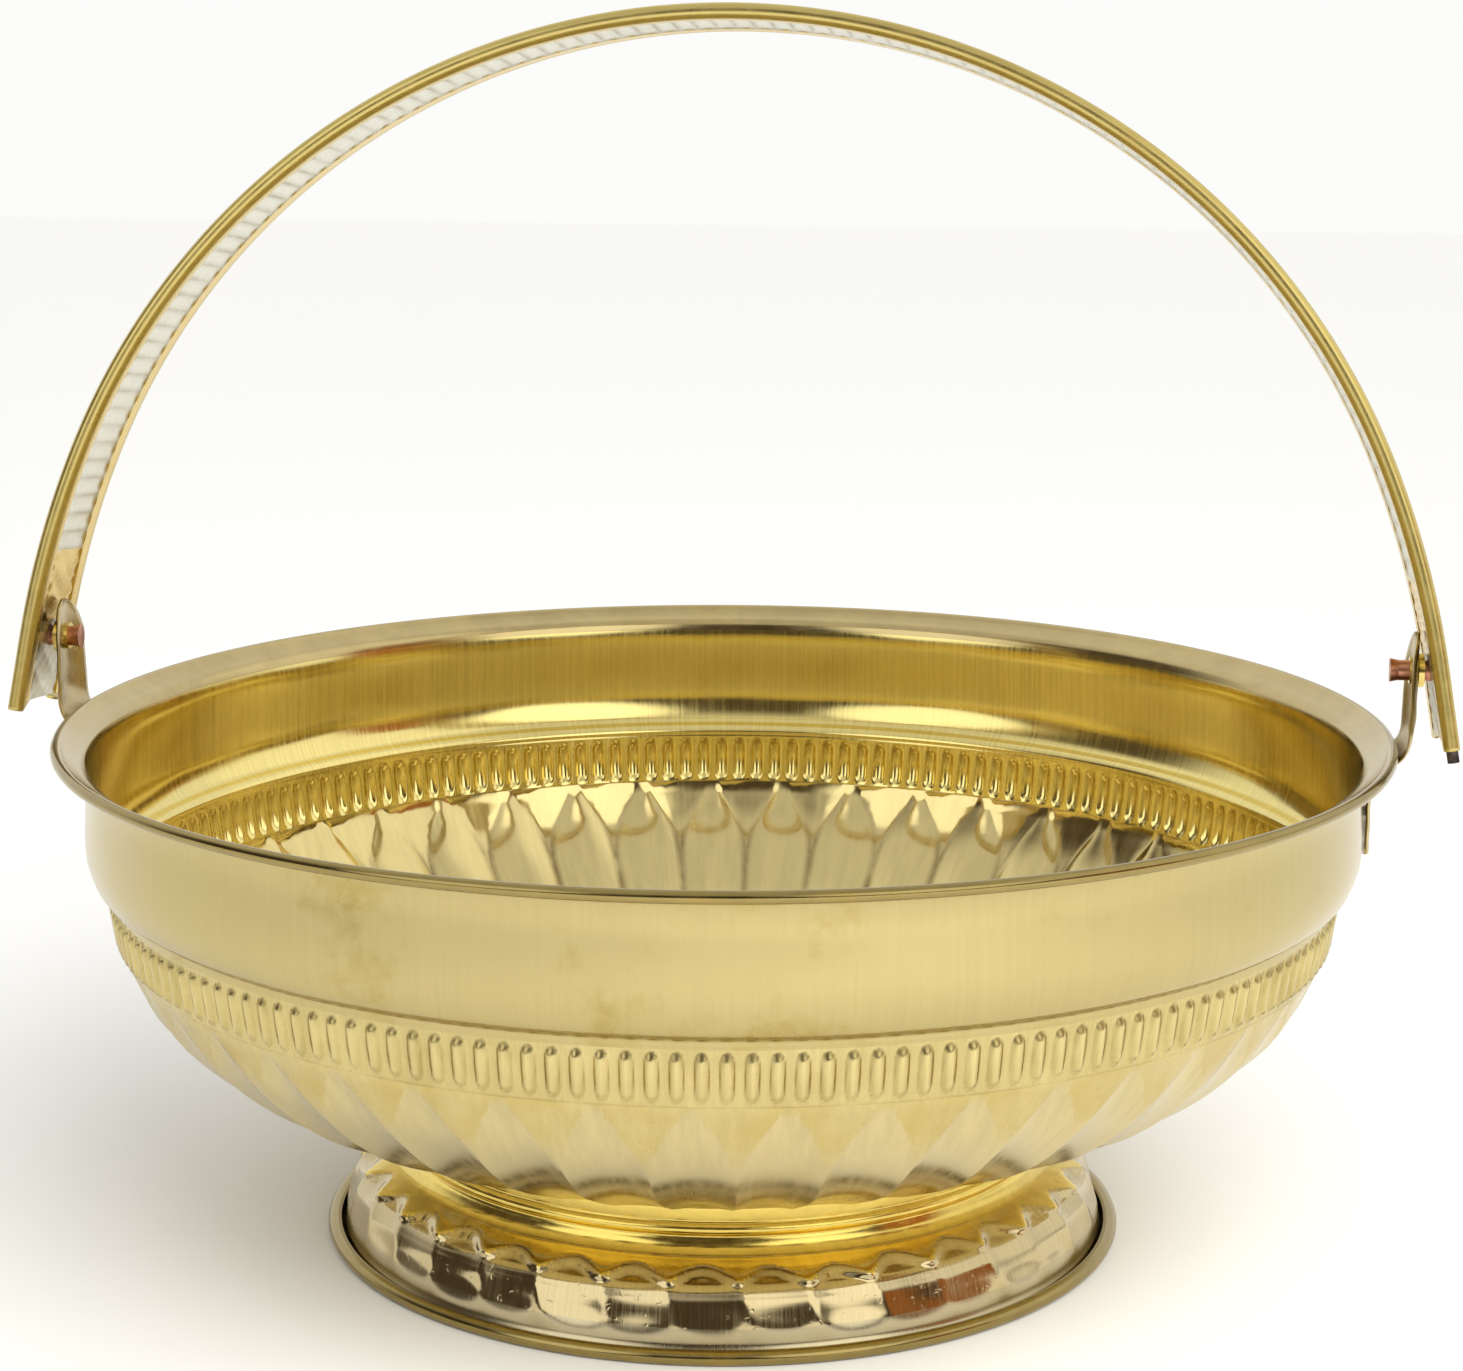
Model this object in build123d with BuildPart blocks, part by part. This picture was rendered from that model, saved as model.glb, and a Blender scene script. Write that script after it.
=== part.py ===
"""Footed brass urli bowl with a wired-edge swing handle.

The bowl, the foot, their wires and the solder ring are turned about Z. The ears, rivets, rings and
spacers share one pivot axis parallel to X. The handle is an arch in a plane that leans back from
upright about that axis. Lengths are in millimetres, angles in degrees.
"""
import os
from math import cos, radians, sin

from build123d import *

# ---- bowl ----
sheet = 0.6                    # thickness of the bowl's and foot's brass
wire_gap = 0.02                # around a wire inside its curl
rim_radius = 125.0             # outside of the curled rim
rim_bead = 2.2                 # the curl's diameter
rim_height = 96.9              # the curl's centre
flange_height = 96.6           # underside of the flange beside the curl
flare_radius = 119.4           # the flange slopes down to the top of the wall here
flare_height = 94.9
throat_radius = 118.3          # slight waist under the flange
throat_height = 90.0
bulge_top_radius = 118.5
bulge_top_height = 87.4
bulge_radius = 119.2           # widest place of the plain bulge
bulge_height = 80.5
step_radius = 117.6            # the bulge steps in to the plain band here
step_height = 72.8
band_top_radius = 114.9
band_top_height = 70.2
rib_low_radius = 113.2         # the rib band ends and the fluted belly starts
rib_low_height = 59.5
bottom_radius = 62.0           # flat disc
bottom_height = 24.6           # underside of the flat disc

# ---- foot ----
foot_radius = 76.2             # outside of the curled foot edge
foot_bead = 2.8
skirt_radius = 72.6
skirt_height = 3.0             # the skirt starts to turn out to the curl here
shoulder_radius = 68.8
shoulder_height = 13.4
neck_radius = 64.3             # middle of the hollow neck
neck_height = 14.7
collar_radius = 61.0
collar_height = 18.0           # lower end of the straight collar
collar_flange = 4.0            # width of the flange turned in under the bowl
ridge_radius = 1.1             # half-round ridge around the collar
ridge_height = 19.4
solder_leg = 0.9

# ---- ears ----
pivot_height = 111.0
ear_thickness = 0.8
ear_x = 127.9                  # middle of the upright plate
ear_top = 118.2
ear_half_width = 6.5           # at the pivot
ear_base_half_width = 8.6      # beside the rim
ear_bend = 2.4                 # bend radius
ear_bend_height = 100.0        # the plate turns in here
strap_x = 125.75               # middle of the strap where it passes under the rim
strap_height = 95.9
tail_x = 120.15                # middle of the tail on the bulge
tail_top = 91.6                # the strap reaches the tail here
tail_half_width = 5.0
tail_height = 76.0             # tip of the tail
solder_length = 6.5
solder_height = 81.0

# ---- rivets, rings and spacers ----
rivet_radius = 1.9
head_radius = 3.4
head_height = 1.3
head_x = 131.35                # underside of the head
flare = 0.3                    # extra radius at the cut tail
flare_length = 1.4
tail_lengths = {"left": 2.9, "right": 4.3}
ring_radius = 2.5
ring_thickness = 0.8
spacer_radius = 3.1
spacer_thickness = 1.0
running_gap = 0.06             # radial, rivet in the handle's hole

# ---- handle ----
lean = 6.0                     # from upright, towards +Y
crown_height = 117.8           # middle of the edge curls above the pivot
crown_bend = 131.0             # bend radius over the top
crown_angle = 67.4             # half of the angle turned over the top
haunch_bend = 168.0            # bend radius at the sides
haunch_angle = 13.1
leg_length = 13.9              # straight end of each leg
strip_sheet = 0.4
edge_bead = 3.0                # diameter of the curled edges
edge_spacing = 22.8            # between the middles of the curled edges
sheet_setback = 1.8            # the flat sheet ends before the curls do
wire_stub = 2.2                # the front wire stands out at the right end

rim_centre_radius = rim_radius - rim_bead / 2
flange_slope = (flange_height - flare_height) / (rim_centre_radius - flare_radius)
rim_wire_radius = rim_bead / 2 - sheet - wire_gap
foot_centre_radius = foot_radius - foot_bead / 2
foot_wire_radius = foot_bead / 2 - sheet - wire_gap
edge_wire_radius = edge_bead / 2 - strip_sheet - wire_gap
head_dome = (head_radius**2 + head_height**2) / (2 * head_height)
ear_inner_x = ear_x - ear_thickness / 2
ear_outer_x = ear_x + ear_thickness / 2

os.makedirs("parts", exist_ok=True)


def save(piece, name):
    """Label a finished piece and write its STEP file."""
    piece.label = name
    export_step(piece, f"parts/{name}.step")


def inside(radius, height, angle):
    """Inner point of a wall across from its outer one. The wall's normal rises by angle."""
    return (radius - sheet * cos(radians(angle)), height + sheet * sin(radians(angle)))


# ---- bowl: one turned sheet with a curled rim ----
# outer points of the fluted belly and the rise of the wall's normal there
belly = (
    (bottom_radius, bottom_height, 90),
    (76.5, 28.9, 70),
    (93.6, 36.8, 58),
    (106.9, 48.0, 36),
    (rib_low_radius, rib_low_height, 14),
)

with BuildPart() as bowl:
    with BuildSketch(Plane.XZ):
        with BuildLine():
            base = Line((0, bottom_height), (bottom_radius, bottom_height))
            outer_belly = Spline(*[(r, z) for r, z, _ in belly], tangents=((1, 0.1), (0.25, 1)))
            outer_step = Polyline(
                outer_belly @ 1,
                (band_top_radius, band_top_height),
                (step_radius, step_height),
            )
            outer_bulge = ThreePointArc(
                outer_step @ 1,
                (bulge_radius, bulge_height),
                (bulge_top_radius, bulge_top_height),
            )
            outer_flare = ThreePointArc(
                outer_bulge @ 1,
                (throat_radius, throat_height),
                (flare_radius, flare_height),
            )
            flange = Polyline(
                outer_flare @ 1,
                (rim_centre_radius, flange_height),
                (rim_centre_radius, flange_height + sheet),
                (flare_radius - sheet, flare_height + sheet - flange_slope * sheet),
            )
            inner_flare = ThreePointArc(
                flange @ 1,
                (throat_radius - sheet, throat_height),
                inside(bulge_top_radius, bulge_top_height, 0),
            )
            inner_bulge = ThreePointArc(
                inner_flare @ 1,
                inside(bulge_radius, bulge_height, 0),
                inside(step_radius, step_height, 25),
            )
            inner_step = Polyline(
                inner_bulge @ 1,
                inside(band_top_radius, band_top_height, 30),
                inside(*belly[-1]),
            )
            inner_belly = Spline(*[inside(*point) for point in reversed(belly)])
            Polyline(inner_belly @ 1, (0, bottom_height + sheet), base @ 0)
        make_face()
        with Locations((rim_centre_radius, rim_height)):
            Circle(rim_bead / 2)
            Circle(rim_wire_radius + wire_gap, mode=Mode.SUBTRACT)
    revolve(axis=Axis.Z)

save(bowl.part, "bowl")

with BuildPart() as rim_wire:
    with BuildSketch(Plane.XZ):
        with Locations((rim_centre_radius, rim_height)):
            Circle(rim_wire_radius)
    revolve(axis=Axis.Z)

save(rim_wire.part, "rim_wire")

# ---- foot: collar, hollow neck, skirt and curled edge ----
skirt = (
    (shoulder_radius, shoulder_height, -80),
    (skirt_radius - 0.9, shoulder_height - 3.6, -12),
    (skirt_radius, skirt_height, 0),
)
neck = (
    (collar_radius, collar_height, -10),
    (neck_radius, neck_height, -50),
    (shoulder_radius, shoulder_height, -80),
)

with BuildPart() as foot:
    with BuildSketch(Plane.XZ):
        with BuildLine():
            flange = Polyline(
                (collar_radius - collar_flange, bottom_height - sheet),
                (collar_radius - collar_flange, bottom_height),
                (collar_radius, bottom_height),
                (collar_radius, collar_height),
            )
            Spline(*[(r, z) for r, z, _ in neck], tangents=((0.2, -1), (1, 0)))
            Spline(*[(r, z) for r, z, _ in skirt], tangents=((1, 0), (0, -1)))
            turn = Polyline(
                (skirt_radius, skirt_height),
                (skirt_radius + sheet, sheet),
                (foot_centre_radius, sheet),
                (foot_centre_radius, 0),
                (skirt_radius + sheet / 2, 0),
                (skirt_radius - sheet, skirt_height),
            )
            Spline(*[inside(*point) for point in reversed(skirt)], tangents=((0, 1), (-1, 0)))
            Spline(*[inside(*point) for point in reversed(neck)], tangents=((-1, 0), (-0.2, 1)))
            Polyline(inside(*neck[0]), (collar_radius - sheet, bottom_height - sheet), flange @ 0)
        make_face()
        with Locations((collar_radius - sheet / 2, ridge_height)):
            Circle(ridge_radius)
        with Locations((foot_centre_radius, foot_bead / 2)):
            Circle(foot_bead / 2)
            Circle(foot_wire_radius + wire_gap, mode=Mode.SUBTRACT)
    revolve(axis=Axis.Z)

save(foot.part, "foot")

with BuildPart() as foot_wire:
    with BuildSketch(Plane.XZ):
        with Locations((foot_centre_radius, foot_bead / 2)):
            Circle(foot_wire_radius)
    revolve(axis=Axis.Z)

save(foot_wire.part, "foot_wire")

with BuildPart() as foot_solder_ring:
    with BuildSketch(Plane.XZ):
        with BuildLine():
            Polyline(
                (collar_radius, bottom_height),
                (collar_radius + solder_leg, bottom_height),
                (collar_radius, bottom_height - solder_leg),
                close=True,
            )
        make_face()
    revolve(axis=Axis.Z)

save(foot_solder_ring.part, "foot_solder_ring")

# ---- ears: each plate stands outside the rim, tucks under it and ends in a tail on the bulge ----
with BuildPart() as ear_right:
    with BuildSketch(Plane.XZ):
        with BuildLine():
            FilletPolyline(
                (ear_x, ear_top),
                (ear_x, ear_bend_height),
                (strap_x, strap_height),
                (tail_x, tail_top),
                (tail_x, tail_height),
                radius=ear_bend,
            )
        trace(line_width=ear_thickness)
    extrude(amount=ear_base_half_width, both=True)
    with BuildSketch(Plane.YZ.offset(tail_x - ear_bend)):
        with BuildLine():
            side = Polyline(
                (ear_half_width - 1.2, ear_top - 4),
                (ear_half_width, pivot_height),
                (ear_half_width + 0.7, 105),
                (ear_base_half_width, 97.5),
                (ear_base_half_width, 95),
                (tail_half_width, 87),
                (tail_half_width - 0.4, tail_height + 4),
            )
            other_side = mirror(side, about=Plane.YZ)
            ThreePointArc(side @ 0, (0, ear_top), other_side @ 0)
            ThreePointArc(side @ 1, (0, tail_height), other_side @ 1)
        make_face()
    extrude(amount=ear_outer_x - tail_x + 2 * ear_bend, mode=Mode.INTERSECT)
    with Locations(Plane(origin=(ear_x, 0, pivot_height), z_dir=(1, 0, 0))):
        Hole(rivet_radius)

save(ear_right.part, "ear_right")

with BuildPart() as ear_left:
    mirror(ear_right.part, about=Plane.YZ)

save(ear_left.part, "ear_left")

# filler between each tail and the bulge
with BuildPart() as ear_solder_right:
    with Locations((tail_x - ear_thickness / 2 - 1, 0, solder_height)):
        Box(2, 2 * tail_half_width - 2, solder_length)
    with BuildSketch(Plane.XZ):
        with BuildLine():
            wall = ThreePointArc(
                (step_radius, step_height),
                (bulge_radius, bulge_height),
                (bulge_top_radius, bulge_top_height),
            )
            Polyline(wall @ 1, (0, bulge_top_height), (0, step_height), wall @ 0)
        make_face()
    revolve(axis=Axis.Z, mode=Mode.SUBTRACT)

save(ear_solder_right.part, "ear_solder_right")

with BuildPart() as ear_solder_left:
    mirror(ear_solder_right.part, about=Plane.YZ)

save(ear_solder_left.part, "ear_solder_left")

# ---- one rivet, ring and spacer on each side ----
pivot_axis = Axis((0, 0, pivot_height), (1, 0, 0))

for side_name, sign in (("left", -1), ("right", 1)):
    # local x runs outward along the pivot axis, local y is up
    section = Plane(origin=(0, 0, pivot_height), x_dir=(sign, 0, 0), z_dir=(0, -sign, 0))
    across = Plane(origin=(0, 0, pivot_height), x_dir=(0, 1, 0), z_dir=(sign, 0, 0))
    tail_end = ear_inner_x - tail_lengths[side_name]

    with BuildPart() as rivet:
        with BuildSketch(section):
            with BuildLine():
                shank = Polyline(
                    (head_x + head_height, 0),
                    (tail_end, 0),
                    (tail_end, rivet_radius + flare),
                    (tail_end + flare_length, rivet_radius),
                    (head_x, rivet_radius),
                    (head_x, head_radius),
                )
                RadiusArc(shank @ 1, shank @ 0, head_dome)
            make_face()
        revolve(axis=pivot_axis)
    save(rivet.part, f"rivet_{side_name}")

    with BuildPart() as rivet_ring:
        with BuildSketch(across.offset(ear_inner_x - ring_thickness)):
            Circle(ring_radius)
            Circle(rivet_radius, mode=Mode.SUBTRACT)
        extrude(amount=ring_thickness)
    save(rivet_ring.part, f"rivet_ring_{side_name}")

    with BuildPart() as spacer:
        with BuildSketch(across.offset(ear_outer_x)):
            Circle(spacer_radius)
            Circle(rivet_radius, mode=Mode.SUBTRACT)
        extrude(amount=spacer_thickness)
    save(spacer.part, f"spacer_{side_name}")

# ---- handle: half the arch is swept from the crown down the right leg, then mirrored ----
front_down = (0, -cos(radians(lean)), sin(radians(lean)))
back_down = (0, cos(radians(lean)), -sin(radians(lean)))
arch_plane = Plane(origin=(0, 0, pivot_height), x_dir=(1, 0, 0), z_dir=front_down)
crown_point = arch_plane.from_local_coords(Vector(0, crown_height))
crown_section = Plane(origin=crown_point, x_dir=back_down, z_dir=(1, 0, 0))


def half_arch(leg):
    """Middle line of the right half of the arch, from the crown to the end of the leg."""
    with BuildLine(arch_plane) as path:
        crown = JernArc((0, crown_height), (1, 0), crown_bend, -crown_angle)
        haunch = JernArc(crown @ 1, crown % 1, haunch_bend, -haunch_angle)
        Line(haunch @ 1, haunch @ 1 + leg * (haunch % 1))
    return path.wire()


with BuildPart() as handle_strip:
    with BuildSketch(crown_section):
        with Locations((0, (strip_sheet - edge_bead) / 2)):
            Rectangle(edge_spacing, strip_sheet)
    sweep(path=half_arch(leg_length - sheet_setback))
    with BuildSketch(crown_section):
        with Locations((-edge_spacing / 2, 0), (edge_spacing / 2, 0)):
            Circle(edge_bead / 2)
            Circle(edge_wire_radius + wire_gap, mode=Mode.SUBTRACT)
    sweep(path=half_arch(leg_length))
    mirror(about=Plane.YZ)
    with Locations(Plane(origin=(0, 0, pivot_height), z_dir=(1, 0, 0))):
        Cylinder(rivet_radius + running_gap, 2 * head_x, mode=Mode.SUBTRACT)

save(handle_strip.part, "handle_strip")

for name, offset_back, stub in (
    ("handle_wire_front", -edge_spacing / 2, wire_stub),
    ("handle_wire_back", edge_spacing / 2, 0),
):
    with BuildPart() as left_half:
        with BuildSketch(crown_section):
            with Locations((offset_back, 0)):
                Circle(edge_wire_radius)
        sweep(path=half_arch(leg_length))
    with BuildPart() as wire:
        mirror(left_half.part, about=Plane.YZ)
        with BuildSketch(crown_section):
            with Locations((offset_back, 0)):
                Circle(edge_wire_radius)
        sweep(path=half_arch(leg_length + stub))
    save(wire.part, name)
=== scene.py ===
"""Looks of the footed brass bowl with its swing handle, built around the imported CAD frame.

The bowl, the foot, the handle band and the two ears get finer meshes than their CAD solids: ribs,
pointed flutes, foot facets and embossed cells are all real geometry. Rivets, rings, spacers, wires
and solder stay CAD nodes and get procedural metals. Shape values are in millimetres and degrees.
An azimuth runs from -Y towards +X.
"""

from math import atan2, cos, degrees, pi, radians, sin

import bmesh
import bpy
import numpy as np
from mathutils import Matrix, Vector


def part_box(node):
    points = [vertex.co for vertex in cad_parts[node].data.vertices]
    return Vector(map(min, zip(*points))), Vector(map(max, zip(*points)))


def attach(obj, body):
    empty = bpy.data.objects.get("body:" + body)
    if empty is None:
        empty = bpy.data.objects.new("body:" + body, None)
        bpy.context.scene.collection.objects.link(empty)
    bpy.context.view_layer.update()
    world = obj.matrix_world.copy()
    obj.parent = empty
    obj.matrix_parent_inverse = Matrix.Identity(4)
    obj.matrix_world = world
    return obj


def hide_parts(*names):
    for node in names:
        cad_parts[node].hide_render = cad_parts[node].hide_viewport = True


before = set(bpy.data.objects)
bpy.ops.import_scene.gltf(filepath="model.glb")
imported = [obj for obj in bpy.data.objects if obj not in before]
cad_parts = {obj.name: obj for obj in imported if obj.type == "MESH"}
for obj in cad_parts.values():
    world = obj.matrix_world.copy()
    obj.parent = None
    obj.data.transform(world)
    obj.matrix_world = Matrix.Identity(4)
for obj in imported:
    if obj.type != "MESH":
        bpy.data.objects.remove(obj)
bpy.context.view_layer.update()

MM = 0.001


def node_span(node, axis):
    """Lowest and highest coordinate of a CAD node along one axis, in millimetres."""
    low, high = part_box(node)
    return low[axis] / MM, high[axis] / MM


# ---- driving sizes, taken from the frame ----
rim_radius = node_span("bowl", 0)[1]
rim_top = node_span("bowl", 2)[1]
bottom_height = node_span("bowl", 2)[0]
foot_radius = node_span("foot", 0)[1]
pivot_low, pivot_high = node_span("rivet_ring_left", 2)
pivot_height = (pivot_low + pivot_high) / 2

# ---- shape of the turned wall ----
sheet = 0.6
rim_bead = 2.2
foot_bead = 2.8
rim_centre = (rim_radius - rim_bead / 2, rim_top - rim_bead / 2)
foot_centre = (foot_radius - foot_bead / 2, foot_bead / 2)

# ---- repeats ----
petals = 45
ribs_per_petal = 4
petal_pitch = 360 / petals
rib_pitch = petal_pitch / ribs_per_petal
facets = 36

petal_depth = -1.0             # the flutes are pressed inward
petal_tip = 59.2
petal_shoulder = 43.0          # the pointed part starts here
rib_lift = 0.95
rib_half_width = 1.45
rib_middle = 64.8
rib_half_length = 4.6
rib_end = 2.3                  # how long a rib's rounded end is


# ---------------------------------------------------------------- mesh tools
def mesh_object(name, points, faces, material_of_face, materials, marks=None):
    """A smooth mesh in metres from points in millimetres, with its materials and an optional mark.

    If the closed surface is inside out, its faces are turned round.
    """
    mesh = bpy.data.meshes.new(name)
    mesh.from_pydata((np.asarray(points) * MM).tolist(), [], faces)
    for material in materials:
        mesh.materials.append(material)
    mesh.polygons.foreach_set("material_index", material_of_face)
    mesh.polygons.foreach_set("use_smooth", [True] * len(faces))
    if marks is not None:
        layer = mesh.attributes.new("dirt_and_shade", "FLOAT", "POINT")
        layer.data.foreach_set("value", np.asarray(marks, np.float32))
    shell = bmesh.new()
    shell.from_mesh(mesh)
    if shell.calc_volume(signed=True) < 0:
        bmesh.ops.reverse_faces(shell, faces=shell.faces)
        shell.to_mesh(mesh)
    shell.free()
    mesh.validate()
    mesh.update()
    piece = bpy.data.objects.new(name, mesh)
    bpy.context.scene.collection.objects.link(piece)
    return piece


def bridge(a, count_a, b, count_b):
    """Faces between two rings that start at a and b. A ring may have twice the other's points."""
    faces = []
    small = min(count_a, count_b)
    for j in range(small):
        k = (j + 1) % small
        if count_a == count_b:
            faces.append((a + j, a + k, b + k, b + j))
        elif count_b > count_a:
            middle = b + 2 * j + 1
            faces += [
                (a + j, a + k, middle),
                (a + k, b + (2 * j + 2) % count_b, middle),
                (a + j, middle, b + 2 * j),
            ]
        else:
            middle = a + 2 * j + 1
            faces += [
                (a + 2 * j, middle, b + j),
                (middle, b + k, b + j),
                (middle, a + (2 * j + 2) % count_a, b + k),
            ]
    return faces


class Turned:
    """A turned skin that is collected ring by ring, from one pole or round a closed loop."""

    def __init__(self):
        self.points, self.faces, self.kinds, self.marks, self.rings = [], [], [], [], []

    def ring(self, azimuths, radius, height, kind, mark=0.0):
        start = len(self.points)
        a = np.radians(azimuths)
        r = np.broadcast_to(radius, a.shape)
        z = np.broadcast_to(height, a.shape)
        self.points.extend(np.stack([r * np.sin(a), -r * np.cos(a), z], 1).tolist())
        self.marks.extend(np.broadcast_to(mark, a.shape).tolist())
        if self.rings:
            self.join(self.rings[-1], (start, len(a)), kind)
        self.rings.append((start, len(a)))

    def join(self, one, other, kind):
        """Faces between two rings. kind is one number for all of them, or a list with one for each."""
        new = bridge(one[0], one[1], other[0], other[1])
        self.faces += new
        self.kinds += kind if isinstance(kind, list) else [kind] * len(new)

    def close(self, kind):
        self.join(self.rings[-1], self.rings[0], kind)

    def pole(self, height, ring, kind, flip):
        start, count = ring
        self.points.append([0, 0, height])
        self.marks.append(0.0)
        tip = len(self.points) - 1
        for j in range(count):
            k = (j + 1) % count
            self.faces.append((start + k, start + j, tip) if flip else (start + j, start + k, tip))
            self.kinds.append(kind)

    def torus(self, centre, radius, count, steps, kind):
        """A round tunnel around the axis. It is the inside of a rolled edge."""
        azimuths = np.arange(count) * 360 / count
        saved, self.rings = self.rings, []
        for i in range(steps):
            turn = -2 * pi * i / steps
            self.ring(azimuths, centre[0] + radius * cos(turn), centre[1] + radius * sin(turn), kind)
        self.close(kind)
        self.rings = saved


def smooth_step(value, low, high):
    t = np.clip((value - low) / (high - low), 0, 1)
    return t * t * (3 - 2 * t)


def curve_through(points, count, turn=0):
    """Rows along a smooth curve through (radius, height) points, as radius, height and normal.

    The normal points outward on a curve that rises; turn=180 does the same for one that falls.
    """
    p = np.array([points[0], *points, points[-1]], float)
    p[0] = 2 * p[1] - p[2]
    p[-1] = 2 * p[-2] - p[-3]
    rows = []
    spans = len(points) - 1
    for value in np.linspace(0, spans, count):
        i = min(int(value), spans - 1)
        t = value - i
        a, b, c, d = p[i:i + 4]
        at = 0.5 * (2 * b + (c - a) * t + (2 * a - 5 * b + 4 * c - d) * t**2
                    + (3 * b - a - 3 * c + d) * t**3)
        slope = 0.5 * ((c - a) + 2 * (2 * a - 5 * b + 4 * c - d) * t
                       + 3 * (3 * b - a - 3 * c + d) * t**2)
        rows.append((at[0], at[1], degrees(atan2(-slope[0], slope[1])) + turn))
    return rows


# ---------------------------------------------------------------- material tools
class Nodes:
    """Short helpers around the node tree of one material, or of the world."""

    def __init__(self, owner):
        self.material = bpy.data.materials.new(owner) if isinstance(owner, str) else owner
        self.material.use_nodes = True
        self.tree = self.material.node_tree
        self.shader = self.tree.nodes.get("Principled BSDF") or self.tree.nodes["Background"]

    def add(self, kind, **values):
        node = self.tree.nodes.new(kind)
        for key, value in values.items():
            setattr(node, key, value)
        return node

    def link(self, source, target):
        self.tree.links.new(source, target)

    def fill(self, socket, value):
        if isinstance(value, bpy.types.NodeSocket):
            self.link(value, socket)
        else:
            socket.default_value = value

    def math(self, operation, a, b=0.0, clamp=False):
        node = self.add("ShaderNodeMath", operation=operation, use_clamp=clamp)
        self.fill(node.inputs[0], a)
        self.fill(node.inputs[1], b)
        return node.outputs[0]

    def vector(self, operation, a, b=(0, 0, 0)):
        node = self.add("ShaderNodeVectorMath", operation=operation)
        self.fill(node.inputs[0], a)
        self.fill(node.inputs[1], b)
        return node.outputs[0]

    def noise(self, coordinates, scale, detail=3.0, rough=0.5):
        node = self.add("ShaderNodeTexNoise")
        self.link(coordinates, node.inputs["Vector"])
        node.inputs["Scale"].default_value = scale
        node.inputs["Detail"].default_value = detail
        node.inputs["Roughness"].default_value = rough
        return node.outputs["Fac"]

    def ramp(self, value, low, high):
        node = self.add("ShaderNodeMapRange", interpolation_type="SMOOTHSTEP")
        self.link(value, node.inputs["Value"])
        node.inputs["From Min"].default_value = low
        node.inputs["From Max"].default_value = high
        return node.outputs["Result"]

    def mix(self, factor, a, b):
        node = self.add("ShaderNodeMix", data_type="RGBA")
        self.fill(node.inputs["Factor"], factor)
        self.fill(node.inputs[6], a if isinstance(a, bpy.types.NodeSocket) else (*a, 1))
        self.fill(node.inputs[7], b if isinstance(b, bpy.types.NodeSocket) else (*b, 1))
        return node.outputs[2]

    def object_point(self):
        return self.add("ShaderNodeTexCoord").outputs["Object"]

    def bump(self, height, distance, strength=1.0, under=None):
        node = self.add("ShaderNodeBump")
        node.inputs["Strength"].default_value = strength
        node.inputs["Distance"].default_value = distance
        self.link(height, node.inputs["Height"])
        if under is not None:
            self.link(under, node.inputs["Normal"])
        return node.outputs["Normal"]


def round_point(nodes, around, up):
    """Coordinates that stretch a texture on a turned wall: lines per turn, and lines per metre up."""
    point = nodes.object_point()
    flat = nodes.vector("MULTIPLY", point, (1, 1, 0))
    turn = nodes.vector("MULTIPLY", nodes.vector("NORMALIZE", flat), (around, around, 0))
    return nodes.vector("ADD", turn, nodes.vector("MULTIPLY", point, (up * 0.3, up * 0.3, up)))


def brass(name, colour, rough, lines, scratch, stain, stain_colour=(0.50, 0.30, 0.05),
          dirt_and_shade=0.0, pits=0.0, brushed=0.14):
    """Turned brass.

    lines is how often its brushing repeats round a turn and per metre up. scratch and pits scale the
    bumps, stain the cloudy blotches, the mark strength the darkening where the mesh is marked (dirt and
    tarnish in the flute creases, beside the flutes and between the ribs, painted shade on the rib flanks
    and between the handle's cells), and brushed the difference between light and dark streaks.
    """
    n = Nodes(name)
    point = n.object_point()
    streaks = n.noise(round_point(n, lines[0], lines[1] * 10), 1.0, 4.0, 0.65)
    broad = n.noise(round_point(n, lines[0] / 9, lines[1] * 2), 1.0, 3.0, 0.6)
    clouds = n.noise(point, 26.0, 4.0, 0.6)
    spots = n.noise(point, 160.0, 4.0, 0.7)
    blotch = n.ramp(n.math("ADD", n.math("MULTIPLY", clouds, 0.75), n.math("MULTIPLY", spots, 0.25)),
                    0.52, 0.68)
    amount = n.math("MULTIPLY", blotch, stain)
    if dirt_and_shade:
        # the mark darkens the colour: dirt and tarnish on the bowl, painted shade on the rib flanks and
        # between the handle's cells
        mark = n.add("ShaderNodeAttribute", attribute_name="dirt_and_shade").outputs["Fac"]
        worn = n.math("MULTIPLY", n.ramp(n.noise(point, 95.0, 4.0, 0.6), 0.30, 0.70), 0.65)
        patchy = n.math("MULTIPLY", mark, n.math("ADD", worn, 0.35))
        amount = n.math("ADD", amount, n.math("MULTIPLY", patchy, dirt_and_shade), clamp=True)
    shade = tuple((1 - brushed) * c for c in colour)
    base = n.mix(n.ramp(streaks, 0.3, 0.7), shade, colour)
    dull = tuple(0.9 * c for c in colour)
    base = n.mix(n.math("MULTIPLY", n.ramp(broad, 0.35, 0.7), 2.5 * brushed), base, dull)
    base = n.mix(amount, base, stain_colour)
    n.link(base, n.shader.inputs["Base Color"])
    n.shader.inputs["Metallic"].default_value = 1.0
    wear = n.math("MULTIPLY", n.ramp(streaks, 0.25, 0.75), 0.7 * brushed)
    cloudy = n.math("MULTIPLY", clouds, 0.12)
    roughness = n.math("ADD", n.math("ADD", wear, cloudy), rough - 0.10)
    roughness = n.math("ADD", roughness, n.math("MULTIPLY", amount, 0.22), clamp=True)
    n.link(roughness, n.shader.inputs["Roughness"])
    normal = n.bump(streaks, 0.00002 * scratch, 1.0)
    normal = n.bump(n.noise(point, 60.0, 2.0, 0.5), 0.00012 * scratch, 0.5, normal)
    if pits:
        normal = n.bump(n.ramp(n.noise(point, 700.0, 2.0, 0.6), 0.62, 0.75), -0.00006 * pits, 1.0, normal)
    n.link(normal, n.shader.inputs["Normal"])
    return n.material


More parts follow.
